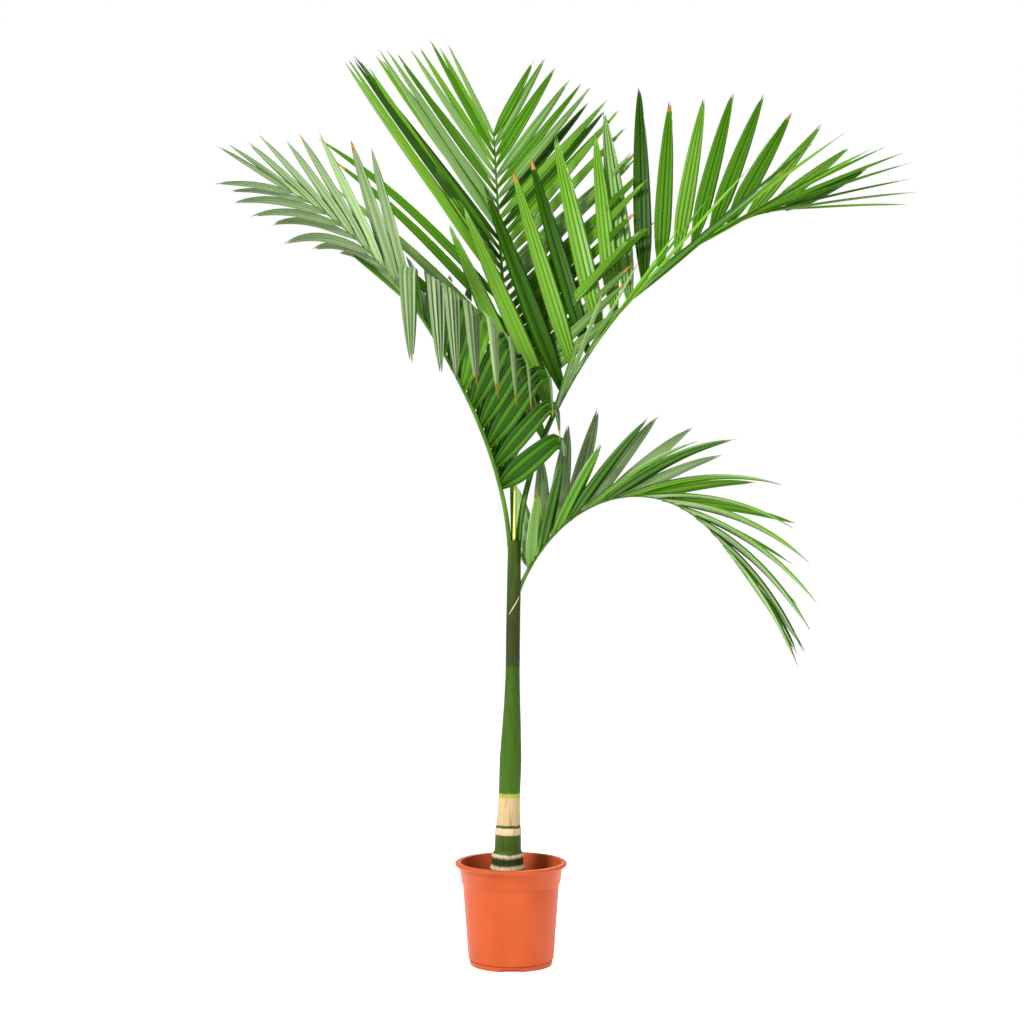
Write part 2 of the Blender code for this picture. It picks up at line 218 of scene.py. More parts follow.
PALEST_HIGHLIGHT_STRIP = 1  # the tone of the painted highlight strips on the palest leaflets
LOOKS_SEED = 100  # added to a frond's seed for its leaflets' looks

# Finishes
SOFT_SHINE = 0.14  # specular level of the pot, the stem and the leaves
PLASTIC_ROUGHNESS = 0.45
PLASTIC_DEEP = 0.86  # share of the pot's colour in its darker clouds
PLASTIC_PALE = (1.12, 0.006)  # the paler clouds: times the colour, and added to it
SOIL_ROUGHNESS = 0.95
BARK_ROUGHNESS = 0.5
BARK_STREAK = (0.62, 0.55, 0.42)  # what a dark streak leaves of the colour
RING_WOBBLE = 0.0035  # how far the bands of colour wander up and down
STALK_ROUGHNESS = 0.4
UNDER_ROUGHNESS = 0.5
TIP_ROUGHNESS = 0.6
TIP_UNDER = 0.8  # the dry tip's underside, as a share of its upper side's colour

# Tones of the leaflets: (name, roughness above, share of the underside's colour below). The deep tone is
# painted shade and the pale tone painted light; the underside's share paints the same shade and light on
# each tone's underside
TONES = (
    ("deep", 0.34, 0.50),
    ("middle", 0.33, 0.75),
    ("bright", 0.36, 1.0),
    ("pale", 0.42, 1.05),
)
TIP_LOOK = len(TONES)
LOOK_COUNT = len(TONES) + 1

# Noise of the finishes: patches in a metre along X, Y and Z
POT_CLOUDS = (9.0, 9.0, 5.0)
POT_GRAIN = (420.0, 420.0, 420.0)
SOIL_CRUMBS = (130.0, 130.0, 130.0)
RING_WAVES = (70.0, 70.0, 18.0)
BARK_STREAKS = (260.0, 260.0, 16.0)
STALK_STREAKS = (90.0, 90.0, 12.0)
NOISE_DETAIL = 5.0

# Colours up the trunk: (height, colour). Below BLEND_FROM each is held until the next
TRUNK_COLOURS = (
    # The first band, low in the pot, is painted shade
    (0.155, (0.030, 0.022, 0.010)),
    (0.2030, (0.46, 0.36, 0.22)),
    (0.2115, (0.020, 0.038, 0.006)),
    (0.2290, (0.50, 0.40, 0.26)),
    (0.2370, (0.034, 0.066, 0.002)),
    (0.2745, (0.030, 0.040, 0.012)),
    (0.2775, (0.50, 0.38, 0.20)),
    (0.2912, (0.020, 0.050, 0.012)),
    (0.2985, (0.40, 0.29, 0.14)),
    (0.3553, (0.26, 0.27, 0.04)),
    (0.3660, (0.030, 0.082, 0.001)),
    (0.5600, (0.028, 0.072, 0.001)),
    (0.6320, (0.026, 0.062, 0.001)),
    (0.6370, (0.020, 0.030, 0.002)),
    (0.7200, (0.020, 0.028, 0.002)),
    (0.9050, (0.030, 0.060, 0.002)),
)
BAND_EDGE = 0.0012  # height over which one gives way to the next
BLEND_FROM = 0.5


@dataclass
class Fold:
    """Leaflets of a row's first part that break over and hang."""

    last: float  # share of the row, from the frond's foot, that breaks over
    place: tuple  # share of a leaflet's length where it breaks
    hang: tuple = (0.05, -0.22, -1.0)  # direction of the part that hangs


@dataclass
class Row:
    """A row of leaflets. Each tuple is blended from the row's first leaflet to its last."""

    side: int  # 1 on the rib's left, -1 on its right
    first: float  # share of the rib where the row starts
    count: int
    angle: tuple  # degrees from the rib
    lift: tuple  # degrees from the frond's plane to its upper side
    length: tuple
    width: tuple
    droop: tuple = (0.0,)  # how much of the downward direction the end takes on
    fold: Fold = None
    last: float = 0.995  # share of the rib where the row ends


@dataclass
class Frond:
    """A rib that sets out from its root by heading and rise, with rows on both sides."""

    name: str
    nodes: tuple  # the frame's nodes that it stands for
    root: tuple
    length: float
    rise: tuple  # degrees above the level, blended from foot to tip
    heading: tuple  # degrees from +X round +Z
    seed: int
    shade: tuple  # shares of deep, middle, bright and pale leaflets; deep is painted shade and pale painted light
    rows: tuple
    roll: tuple = (0.0,)  # degrees that the frond's plane turns round its rib
    rib_radius: float = 0.0065  # at the frond's foot
    twisted: float = 0.0  # share of each row, from the foot, whose blades are turned over


FRONDS = (
    Frond(
        name="right",
        nodes=("frond_right",),
        root=(0.0155, 0.001, 0.890),
        length=1.12,
        rise=(88, 52, 55, 36, 8),
        heading=(28,),
        roll=(25, 45, 50),
        seed=1,
        shade=(0.12, 0.50, 0.33, 0.05),
        rows=(
            Row(1, 0.22, 17, (44, 52, 40, 18), (20, 20, 15), (0.54, 0.46, 0.52, 0.30),
                (0.036, 0.036, 0.034, 0.030), (0.0, 0.0, 0.05)),
            Row(-1, 0.26, 16, (44, 36, 26, 16), (70, 55, 45, 40), (0.20, 0.50, 0.60, 0.31),
                (0.034, 0.034, 0.032, 0.030), (0.0, 0.1, 0.1)),
        ),
    ),
    Frond(
        name="back",
        nodes=("frond_back",),
        root=(0.0065, 0.0075, 0.890),
        length=1.02,
        rise=(82, 64, 62, 72),
        heading=(97, 97, 99),
        roll=(0, 12),
        seed=2,
        # Many pale leaflets: painted light where the upright frond catches the light
        shade=(0.08, 0.27, 0.25, 0.40),
        rows=(
            Row(1, 0.36, 5, (44, 44), (5, 15), (0.50, 0.56), (0.022, 0.024), (0.15, 0.35), last=0.56),
            Row(1, 0.60, 17, (42, 50, 46, 32), (25, 23, 16), (0.60, 0.48, 0.38, 0.23),
                (0.026, 0.026, 0.022, 0.018)),
            Row(-1, 0.32, 26, (54, 47, 50, 27), (30, 25, 18), (0.34, 0.54, 0.42, 0.23),
                (0.026, 0.026, 0.022, 0.018)),
        ),
    ),
    Frond(
        name="left",
        nodes=("frond_left",),
        root=(-0.0015, 0.0, 0.890),
        length=0.945,
        rise=(87, 55, 63, 27),
        heading=(172,),
        roll=(10, 20),
        seed=3,
        # Mostly deep green: painted shade, as this frond lies in the crown's shade
        shade=(0.85, 0.15, 0.00, 0.00),
        rows=(
            Row(1, 0.14, 19, (66, 60, 20, 14), (52, 50, 20, 5), (0.26, 0.44, 0.32, 0.19),
                (0.044, 0.044, 0.036, 0.020), (0.1,), Fold(0.52, (0.8, 0.5, 0.35))),
            Row(-1, 0.16, 19, (45, 46, 52, 16), (60, 40, -10, -20), (0.30, 0.38, 0.38, 0.19),
                (0.034, 0.034, 0.024, 0.016), (0.0, 0.3, 0.9, 0.3)),
        ),
    ),
    Frond(
        name="lower",
        nodes=("frond_lower_inner", "frond_lower_outer"),
        root=(0.0150, 0.0, 0.795),
        length=0.665,
        rise=(70, 42, 33, -80, -47),
        heading=(4,),
        rib_radius=0.0055,
        seed=4,
        shade=(0.20, 0.50, 0.30, 0.00),
        twisted=0.45,
        rows=(
            Row(1, 0.09, 15, (50, 45, 34, 10), (40, 30, 10, 0), (0.22, 0.40, 0.48, 0.20),
                (0.042, 0.042, 0.040, 0.034), (0.05, 0.25, 0.3)),
            Row(-1, 0.09, 15, (45, 40, 30, 12), (30, 25, 5, 0), (0.20, 0.38, 0.46, 0.20),
                (0.042, 0.042, 0.040, 0.034), (0.05, 0.25, 1.2, 1.0)),
        ),
    ),
)


class PalmSettings(bpy.types.PropertyGroup):
    """Sizes and colours that a user would change."""

    # Painted shade: the deep green stands for the leaflets in the crown's shade
    leaf_painted_shade: bpy.props.FloatVectorProperty(
        name="Deep green", description="Leaflets in the crown's shade",
        default=(0.014, 0.055, 0.001), subtype="COLOR", min=0.0, max=1.0)
    leaf_middle: bpy.props.FloatVectorProperty(
        name="Leaf green", description="Most of the leaflets' upper sides",
        default=(0.044, 0.148, 0.002), subtype="COLOR", min=0.0, max=1.0)
    # Also the painted highlight strips on the middle green leaflets
    leaf_bright: bpy.props.FloatVectorProperty(
        name="Bright green", description="Young leaflets, and strips of the middle green ones",
        default=(0.105, 0.255, 0.012), subtype="COLOR", min=0.0, max=1.0)
    # Painted light: the pale green stands for leaflets that catch the light, and for the highlight strips
    # of the bright leaflets
    leaf_painted_light: bpy.props.FloatVectorProperty(
        name="Pale green", description="Leaflets that catch the light in the upright frond",
        default=(0.150, 0.270, 0.075), subtype="COLOR", min=0.0, max=1.0)
    leaf_tip: bpy.props.FloatVectorProperty(
        name="Dry tip", description="The dry ends of the leaflets",
        default=(0.32, 0.17, 0.03), subtype="COLOR", min=0.0, max=1.0)
    leaf_under: bpy.props.FloatVectorProperty(
        name="Underside", description="The leaflets' pale lower sides",
        default=(0.225, 0.335, 0.140), subtype="COLOR", min=0.0, max=1.0)
    stalk_deep: bpy.props.FloatVectorProperty(
        name="Stalk, deep", description="The darker streaks of the fronds' stalks",
        default=(0.022, 0.075, 0.003), subtype="COLOR", min=0.0, max=1.0)
    stalk_light: bpy.props.FloatVectorProperty(
        name="Stalk, light", description="The lighter streaks of the fronds' stalks",
        default=(0.060, 0.150, 0.008), subtype="COLOR", min=0.0, max=1.0)
    spear_light: bpy.props.FloatVectorProperty(
        name="Unopened leaf, light", description="The yellow streaks of the unopened leaf",
        default=(0.55, 0.52, 0.12), subtype="COLOR", min=0.0, max=1.0)
    spear_deep: bpy.props.FloatVectorProperty(
        name="Unopened leaf, deep", description="The green streaks of the unopened leaf",
        default=(0.30, 0.42, 0.06), subtype="COLOR", min=0.0, max=1.0)
    edge_deep: bpy.props.FloatVectorProperty(
        name="Sheath edge, deep", description="The browner streaks of the sheath's dry edge",
        default=(0.46, 0.36, 0.16), subtype="COLOR", min=0.0, max=1.0)
    edge_light: bpy.props.FloatVectorProperty(
        name="Sheath edge, light", description="The cream streaks of the sheath's dry edge",
        default=(0.62, 0.55, 0.32), subtype="COLOR", min=0.0, max=1.0)
    # The soil's dark colour, deepened with painted shade, for the hollows between the crumbs
    soil_dark_and_hollow_shade: bpy.props.FloatVectorProperty(
        name="Soil, deep", description="The soil between the crumbs",
        default=(0.012, 0.007, 0.004), subtype="COLOR", min=0.0, max=1.0)
    soil_light: bpy.props.FloatVectorProperty(
        name="Soil, light", description="The soil's crumbs",
        default=(0.10, 0.058, 0.032), subtype="COLOR", min=0.0, max=1.0)
    pot_colour: bpy.props.FloatVectorProperty(
        name="Pot", description="The pot's plastic",
        default=(0.375, 0.057, 0.009), subtype="COLOR", min=0.0, max=1.0)
    leaf_fullness: bpy.props.FloatProperty(
        name="Leaflet fullness", description="Width of the leaflets against the widths of their rows",
        default=LEAF_FULLNESS, min=0.5, max=1.5, subtype="FACTOR")
    pleat: bpy.props.FloatProperty(
        name="Pleat", description="Height of a pleat's crest, as a share of the widest half width",
        default=PLEAT, min=0.0, max=0.3, subtype="FACTOR")
    keel: bpy.props.FloatProperty(
        name="Keel", description="How far a leaflet's edges bend back, as a share of its half width",
        default=KEEL, min=0.0, max=1.0, subtype="FACTOR")
    tip_share: bpy.props.FloatProperty(
        name="Dry tip from", description="Share of a leaflet's length where its dry tip starts",
        default=TIP_SHARE, min=0.5, max=1.0, subtype="FACTOR")
    blade_thickness: bpy.props.FloatProperty(
        name="Leaflet thickness", description="Thickness of the leaflets' blades",
        default=BLADE_THICKNESS, min=0.0001, max=0.002, precision=4, unit="LENGTH")
    soil_relief: bpy.props.FloatProperty(
        name="Soil relief", description="Height of the lumps in the soil's surface",
        default=SOIL_RELIEF, min=0.0, max=0.01, precision=4, unit="LENGTH")
    blade_rows: bpy.props.IntProperty(
        name="Leaflet rows", description="Steps along each leaflet", default=BLADE_ROWS, min=4, max=40)
    blade_columns: bpy.props.IntProperty(
        name="Leaflet columns", description="Faces across each leaflet, two to a pleat",
        default=BLADE_COLUMNS, min=2, max=16)


def palm(context):
    return context.scene.palm


# Meshes and outlines


def loft(bm, around, rows, place):
    """A closed sleeve or turned form: place(turn, row) gives each point, turn in radians."""
    verts = bmesh.ops.create_grid(bm, x_segments=around, y_segments=rows, size=GRID_HALF)["verts"]
    for vert in verts:
        turn = (vert.co.x + GRID_HALF) % 1.0
        vert.co = Vector(place(2 * pi * turn, round((vert.co.y + GRID_HALF) * rows)))
    bmesh.ops.remove_doubles(bm, verts=verts, dist=MERGE_DISTANCE)


def close_ends(bm):
    edges = [edge for edge in bm.edges if edge.is_boundary]
    bmesh.ops.holes_fill(bm, edges=edges, sides=0)


def finished(name, bm, looks, sharp=None, recalculate=True):
    """Makes the object, at the origin with its place in its mesh. sharp is an angle in degrees."""
    if recalculate:
        bmesh.ops.recalc_face_normals(bm, faces=bm.faces)
    mesh = bpy.data.meshes.new(name)
    bm.to_mesh(mesh)
    bm.free()
    for look in looks:
        mesh.materials.append(look)
    mesh.shade_smooth()
    if sharp:
        mesh.set_sharp_from_angle(angle=radians(sharp))
    piece = bpy.data.objects.new(name, mesh)
    bpy.context.scene.collection.objects.link(piece)
    return piece


def on_plant(piece, slot, *nodes):
    """Lets a piece ride and hides the frame's nodes that it stands for. Its slot is not used."""
    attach(piece, "root")
    if nodes:
        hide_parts(*nodes)


def arc(centre, radius, start, end, count):
    """Profile points on an arc, with angles in degrees from the outward direction."""
    turns = [radians(start + (end - start) * i / (count - 1)) for i in range(count)]
    return [(centre[0] + radius * cos(a), centre[1] + radius * sin(a)) for a in turns]


def body_radius(height):
    """The pot's outer radius below its collar."""
    share = (height - FOOT_HEIGHT) / (COLLAR_FOOT - FOOT_HEIGHT)
    return BODY_FOOT_RADIUS + (BODY_TOP_RADIUS - BODY_FOOT_RADIUS) * share


def trunk_at(height):
    """The trunk's radius and lean at a height, between the points of its line."""
    heights = [point[0] for point in TRUNK_LINE]
    radius = float(np.interp(height, heights, [point[1] for point in TRUNK_LINE]))
    lean = float(np.interp(height, heights, [point[2] for point in TRUNK_LINE]))
    return radius, lean


# Finishes


def principled(name, roughness, colour=None, shine=None):
    """A material and its shader. With no colour given, its nodes give one."""
    look = bpy.data.materials.new(name)
    look.use_nodes = True
    shader = look.node_tree.nodes["Principled BSDF"]
    shader.inputs["Roughness"].default_value = roughness
    if colour is not None:
        shader.inputs["Base Color"].default_value = (*colour, 1.0)
    if shine is not None:
        shader.inputs["Specular IOR Level"].default_value = shine
    return look, shader


def mottle_group():
    """Two colours mixed by a noise that can be stretched along an axis."""
    group = bpy.data.node_groups.get("mottle")
    if group:
        return group
    group = bpy.data.node_groups.new("mottle", "ShaderNodeTree")
    for name, kind in (
        ("First", "NodeSocketColor"),
        ("Second", "NodeSocketColor"),
        ("Stretch", "NodeSocketVector"),
        ("Start", "NodeSocketFloat"),
        ("End", "NodeSocketFloat"),
    ):
        group.interface.new_socket(name, in_out="INPUT", socket_type=kind)
    group.interface.new_socket("Color", in_out="OUTPUT", socket_type="NodeSocketColor")
    group.interface.new_socket("Mask", in_out="OUTPUT", socket_type="NodeSocketFloat")
    nodes, links = group.nodes, group.links
    given = nodes.new("NodeGroupInput")
    out = nodes.new("NodeGroupOutput")
    place = nodes.new("ShaderNodeTexCoord")
    stretch = nodes.new("ShaderNodeVectorMath")
    stretch.operation = "MULTIPLY"
    grain = nodes.new("ShaderNodeTexNoise")
    grain.inputs["Scale"].default_value = 1.0
    grain.inputs["Detail"].default_value = NOISE_DETAIL
    ramp = nodes.new("ShaderNodeMapRange")
    mix = nodes.new("ShaderNodeMix")
    mix.data_type = "RGBA"
    links.new(place.outputs["Object"], stretch.inputs[0])
    links.new(given.outputs["Stretch"], stretch.inputs[1])
    links.new(stretch.outputs["Vector"], grain.inputs["Vector"])
    links.new(grain.outputs["Fac"], ramp.inputs["Value"])
    links.new(given.outputs["Start"], ramp.inputs["From Min"])
    links.new(given.outputs["End"], ramp.inputs["From Max"])
    links.new(ramp.outputs["Result"], mix.inputs["Factor"])
    links.new(given.outputs["First"], mix.inputs["A"])
    links.new(given.outputs["Second"], mix.inputs["B"])
    links.new(mix.outputs["Result"], out.inputs["Color"])
    links.new(ramp.outputs["Result"], out.inputs["Mask"])
    return group


def mottled(look, first, second, stretch, start=0.3, end=0.7):
    """Places the mottle group in a material. It turns from first to second between start and end."""
    node = look.node_tree.nodes.new("ShaderNodeGroup")
    node.node_tree = mottle_group()
    node.inputs["First"].default_value = (*first, 1.0)
    node.inputs["Second"].default_value = (*second, 1.0)
    node.inputs["Stretch"].default_value = stretch
    node.inputs["Start"].default_value = start
    node.inputs["End"].default_value = end
    return node


def bumped(look, shader, mask, distance):
    bump = look.node_tree.nodes.new("ShaderNodeBump")
    bump.inputs["Distance"].default_value = distance
    look.node_tree.links.new(mask, bump.inputs["Height"])
    look.node_tree.links.new(bump.outputs["Normal"], shader.inputs["Normal"])


def plastic_look(colour):
    """Pot: soft clouds of colour and a fine moulded grain."""
    look, shader = principled("pot_plastic", PLASTIC_ROUGHNESS, shine=SOFT_SHINE)
    times, added = PLASTIC_PALE
    pale = tuple(min(1.0, c * times + added) for c in colour)
    deep = tuple(c * PLASTIC_DEEP for c in colour)
    clouds = mottled(look, deep, pale, POT_CLOUDS)
    look.node_tree.links.new(clouds.outputs["Color"], shader.inputs["Base Color"])
    grain = mottled(look, BLACK, WHITE, POT_GRAIN, start=0.2, end=0.8)
    bumped(look, shader, grain.outputs["Mask"], distance=0.00012)
    return look


def soil_look(settings):
    """Dark soil with lighter crumbs that stand up; the hollows between them are darkest, the soil's own
    dark colour deepened by painted shade.
    """
    look, shader = principled("potting_soil", SOIL_ROUGHNESS)
    crumbs = mottled(look, settings.soil_dark_and_hollow_shade, settings.soil_light, SOIL_CRUMBS)
    look.node_tree.links.new(crumbs.outputs["Color"], shader.inputs["Base Color"])
    bumped(look, shader, crumbs.outputs["Mask"], distance=0.002)
    return look


def trunk_stops():
    """The trunk's colours with a second stop just below each edge that is hard."""
    stops = []
    for i, (height, colour) in enumerate(TRUNK_COLOURS):
        if i > 0 and height < BLEND_FROM:
            stops.append((height - BAND_EDGE, TRUNK_COLOURS[i - 1][1]))
        stops.append((height, colour))
    return stops


def trunk_look():
    """Bands by height whose edges wander a little, with long dark streaks in the bark; the lowest band,
    inside the pot, is painted shade.
    """
    look, shader = principled("stem_bark", BARK_ROUGHNESS, shine=SOFT_SHINE)
    nodes, links = look.node_tree.nodes, look.node_tree.links
    place = nodes.new("ShaderNodeTexCoord")
    wobble = mottled(look, BLACK, WHITE, RING_WAVES, start=0.0, end=1.0)
    shift = nodes.new("ShaderNodeMapRange")
    shift.inputs["To Min"].default_value = -RING_WOBBLE
    shift.inputs["To Max"].default_value = RING_WOBBLE
    split = nodes.new("ShaderNodeSeparateXYZ")
    add = nodes.new("ShaderNodeMath")
    add.operation = "ADD"
    low, high = TRUNK_LINE[0][0], TRUNK_LINE[-1][0]
    span = nodes.new("ShaderNodeMapRange")
    span.inputs["From Min"].default_value = low
    span.inputs["From Max"].default_value = high
    bands = nodes.new("ShaderNodeValToRGB")
    ramp = bands.color_ramp
    for i, (height, colour) in enumerate(trunk_stops()):
        at = (height - low) / (high - low)
        stop = ramp.elements[i] if i < 2 else ramp.elements.new(at)
        stop.position = at
        stop.color = (*colour, 1.0)
    streak = mottled(look, BLACK, WHITE, BARK_STREAKS, start=0.52, end=0.72)
    dark = nodes.new("ShaderNodeMix")
    dark.data_type = "RGBA"
    dark.blend_type = "MULTIPLY"
    dark.inputs["B"].default_value = (*BARK_STREAK, 1.0)
    links.new(place.outputs["Object"], split.inputs["Vector"])
    links.new(wobble.outputs["Mask"], shift.inputs["Value"])
    links.new(split.outputs["Z"], add.inputs[0])
    links.new(shift.outputs["Result"], add.inputs[1])
    links.new(add.outputs["Value"], span.inputs["Value"])
    links.new(span.outputs["Result"], bands.inputs["Fac"])
    links.new(streak.outputs["Mask"], dark.inputs["Factor"])
    links.new(bands.outputs["Color"], dark.inputs["A"])
    links.new(dark.outputs["Result"], shader.inputs["Base Color"])
    bumped(look, shader, streak.outputs["Mask"], distance=0.0004)
    return look


def streaked_look(name, first, second):
    """Long streaks of two colours, for the stalks, the unopened leaf and the sheath's edge."""
    look, shader = principled(name, STALK_ROUGHNESS, shine=SOFT_SHINE)
    streaks = mottled(look, first, second, STALK_STREAKS)
    look.node_tree.links.new(streaks.outputs["Color"], shader.inputs["Base Color"])
    return look


def leaf_looks(settings):
    """Upper sides deep, middle, bright, pale and dry tip, then the undersides in the same order; deep is
    painted shade, pale painted light.
    """
    colours = (settings.leaf_painted_shade, settings.leaf_middle, settings.leaf_bright, settings.leaf_painted_light)
    under = Vector(settings.leaf_under)
    tip = Vector(settings.leaf_tip)
    tops = []
    unders = []
    for (tone, roughness, share), colour in zip(TONES, colours):
        tops.append((f"leaf_{tone}", colour, roughness))
        unders.append((f"leaf_under_{tone}", under * share, UNDER_ROUGHNESS))
    tops.append(("leaf_tip", tip, TIP_ROUGHNESS))
    unders.append(("leaf_under_tip", tip * TIP_UNDER, TIP_ROUGHNESS))
    return [principled(name, roughness, colour, SOFT_SHINE)[0] for name, colour, roughness in tops + unders]


# The rule of the fronds, as in the fixed frame


def blend(values, s):
    """Bezier blend of evenly spread values at s, 0 to 1."""
    last = len(values) - 1
    return sum(comb(last, i) * s**i * (1 - s) ** (last - i) * v for i, v in enumerate(values))


def unit(vector):
    return vector / np.linalg.norm(vector)


class Rib:
    """A frond's midrib, stepped from its root by heading and rise."""

    def __init__(self, frond):
        self.frond = frond
        step = frond.length / RIB_STEPS
        self.points = [np.array(frond.root)]
        for i in range(RIB_STEPS):
            self.points.append(self.points[-1] + step * self.direction((i + 0.5) / RIB_STEPS))

    def direction(self, s):
        heading = radians(blend(self.frond.heading, s))
        rise = radians(blend(self.frond.rise, s))
        return np.array([cos(rise) * cos(heading), cos(rise) * sin(heading), sin(rise)])

    def point(self, s):
        place = s * RIB_STEPS
        low = min(int(place), RIB_STEPS - 1)
        return self.points[low] + (place - low) * (self.points[low + 1] - self.points[low])

    def radius(self, s):
        return RIB_TIP_RADIUS + (self.frond.rib_radius - RIB_TIP_RADIUS) * (1 - s) ** RIB_TAPER

    def frame(self, s):
        """Its direction, its left side and its upper side at s, with the frond's roll."""
        along = self.direction(s)
        heading = radians(blend(self.frond.heading, s))
        left = np.array([-sin(heading), cos(heading), 0.0])
        upper = np.cross(along, left)
        roll = radians(blend(self.frond.roll, s))
        return along, cos(roll) * left + sin(roll) * upper, cos(roll) * upper - sin(roll) * left


def leaf_width(u):
    """Half width at u along a leaflet, as a share of its widest half."""
    if u < WIDEST:
        return ROOT_WIDTH + (1 - ROOT_WIDTH) * sin(pi / 2 * u / WIDEST)
    return max(cos(pi / 2 * (u - WIDEST) / (1 - WIDEST)) ** END_CURVE, END_WIDTH)


def breaks_over(row, share):
    """Whether the leaflet at this share of its row breaks over and hangs."""
    return row.fold is not None and share <= row.fold.last


def leaflet_path(rib, row, share, chance, steps):
    """A leaflet's points and directions from the middle of the rib, and its side to side direction."""
    place = row.first + (row.last - row.first) * share
    along, left, upper = rib.frame(place)
    angle = radians(blend(row.angle, share) + chance[0])
    raised = radians(blend(row.lift, share) + chance[3])
    outward = cos(raised) * row.side * left + sin(raised) * upper
    start = cos(angle) * along + sin(angle) * outward
    length = blend(row.length, share) * (1 + chance[1])
    droop = blend(row.droop, share)
    points = [rib.point(place)]
    directions = []
    for i in range(steps):
        u = (i + 0.5) / steps
        direction = start - droop * u**DROOP_CURVE * UP
        if breaks_over(row, share):
            fold_at = blend(row.fold.place, share / row.fold.last)
            over = min(max((u - fold_at) * FOLD_SPEED + 0.5, 0.0), 1.0)
            direction = (1 - over) * direction + over * unit(np.array(row.fold.hang))
        directions.append(unit(direction))
        points.append(points[-1] + directions[-1] * length / steps)
    ends = [directions[0], *directions, directions[-1]]
    tangents = [unit(ends[i] + ends[i + 1]) for i in range(steps + 1)]
    return points, tangents, unit(along - along.dot(start) * start)


def highlight_strip_look(column, tone):
    """The leaflet's own green, and the next brighter one in its painted highlight strips, but not on the
    palest.
    """
    if column % HIGHLIGHT_STRIP_EVERY != FIRST_HIGHLIGHT_STRIP:
        return tone
    return tone + 1 if tone < len(TONES) - 1 else PALEST_HIGHLIGHT_STRIP


def add_leaflet(bm, rib, row, share, chance, rng, settings):
    """A pleated blade with a keel, its faces dealt the greens and painted highlight strips, and its end
    frayed and dry.
    """
    columns, rows = settings.blade_columns, settings.blade_rows
    points, tangents, across = leaflet_path(rib, row, share, chance, rows)
    half = settings.leaf_fullness * blend(row.width, share) * (1 + chance[2]) / 2
    sides = []
    for tangent in tangents:
        across = unit(across - across.dot(tangent) * tangent)
        sides.append(across)
    tone = int(rng.choice(len(TONES), p=rib.frond.shade))
    fray = rng.uniform(*FRAY, columns + 1)
    dry_from = settings.tip_share + rng.uniform(*TIP_SPREAD)
    verts = bmesh.ops.create_grid(bm, x_segments=columns, y_segments=rows, size=GRID_HALF)["verts"]
    spots = {}
    for vert in verts:
        x = vert.co.x
        column = round((x + GRID_HALF) * columns)
        i = round((vert.co.y + GRID_HALF) * rows)
        spots[vert] = (column, i)
        width = half * leaf_width(i / rows)
        ridge = settings.pleat * half * (1 if column % 2 else -1) * min(1.0, PLEAT_FADE * (1 - i / rows))
        rise = ridge - settings.keel * 2 * abs(x) * width
        normal = row.side * np.cross(sides[i], tangents[i])
        at = points[i] + 2 * x * width * sides[i] + rise * normal
        if i == rows:
            at = at + fray[column] * tangents[i]
        vert.co = Vector(at)
    faces = {face for vert in verts for face in vert.link_faces}
    for face in faces:
        column = min(spots[vert][0] for vert in face.verts)
        i = min(spots[vert][1] for vert in face.verts)
        face.material_index = TIP_LOOK if i / rows > dry_from else highlight_strip_look(column, tone)
    turned = breaks_over(row, share) or share < rib.frond.twisted
    if (row.side < 0) != turned:
        bmesh.ops.reverse_faces(bm, faces=list(faces))


def add_rib(bm, rib):
    """The stalk and midrib, flat on its upper side."""

    def place(turn, row):
        s = row / RIB_ROWS
        _, left, upper = rib.frame(s)
        high = min(sin(turn), RIB_FLAT)
        return rib.point(s) + rib.radius(s) * (cos(turn) * left + high * upper)

    loft(bm, RIB_SIDES, RIB_ROWS, place)
    close_ends(bm)


# Operators


class PALM_OT_stage(bpy.types.Operator):
    """Camera, pale floor and soft light"""

    bl_idname = "palm.stage"
    bl_label = "Stage"

    def execute(self, context):
        scene = context.scene
        lens = bpy.data.cameras.new("camera")
        lens.sensor_width = SENSOR
        lens.lens = FOCAL_PIXELS / IMAGE_SIDE * SENSOR
        camera = bpy.data.objects.new("camera", lens)
        camera.location = CAMERA_PLACE
        camera.rotation_euler = (pi / 2, 0.0, 0.0)
        scene.collection.objects.link(camera)
        scene.camera = camera
        scene.view_settings.view_transform = "Standard"
        bm = bmesh.new()
        bmesh.ops.create_circle(bm, cap_ends=True, segments=FLOOR_SIDES, radius=FLOOR_RADIUS)
        look, shader = principled("floor", 1.0, WHITE, shine=0.0)
        shader.inputs["Emission Color"].default_value = (*WHITE, 1.0)
        shader.inputs["Emission Strength"].default_value = FLOOR_GLOW
        floor = finished("floor", bm, [look])
        for name, place, turn, width, watts in LAMPS:
            lamp = bpy.data.lights.new(name, "AREA")
            lamp.size = width
            lamp.energy = watts
            light = bpy.data.objects.new(name, lamp)
            light.location = place
            light.rotation_euler = [radians(angle) for angle in turn]
            scene.collection.objects.link(light)
        world = bpy.data.worlds.new("studio")
        world.use_nodes = True
        nodes, links = world.node_tree.nodes, world.node_tree.links
        backdrop = nodes["Background"]
        backdrop.inputs["Color"].default_value = (*WHITE, 1.0)
        seen = nodes.new("ShaderNodeLightPath")
        strength = nodes.new("ShaderNodeMapRange")
        strength.inputs["To Min"].default_value = SKY_LIGHT
        strength.inputs["To Max"].default_value = SKY_SEEN
        links.new(seen.outputs["Is Camera Ray"], strength.inputs["Value"])
        links.new(strength.outputs["Result"], backdrop.inputs["Strength"])
        scene.world = world
        return {"FINISHED"}


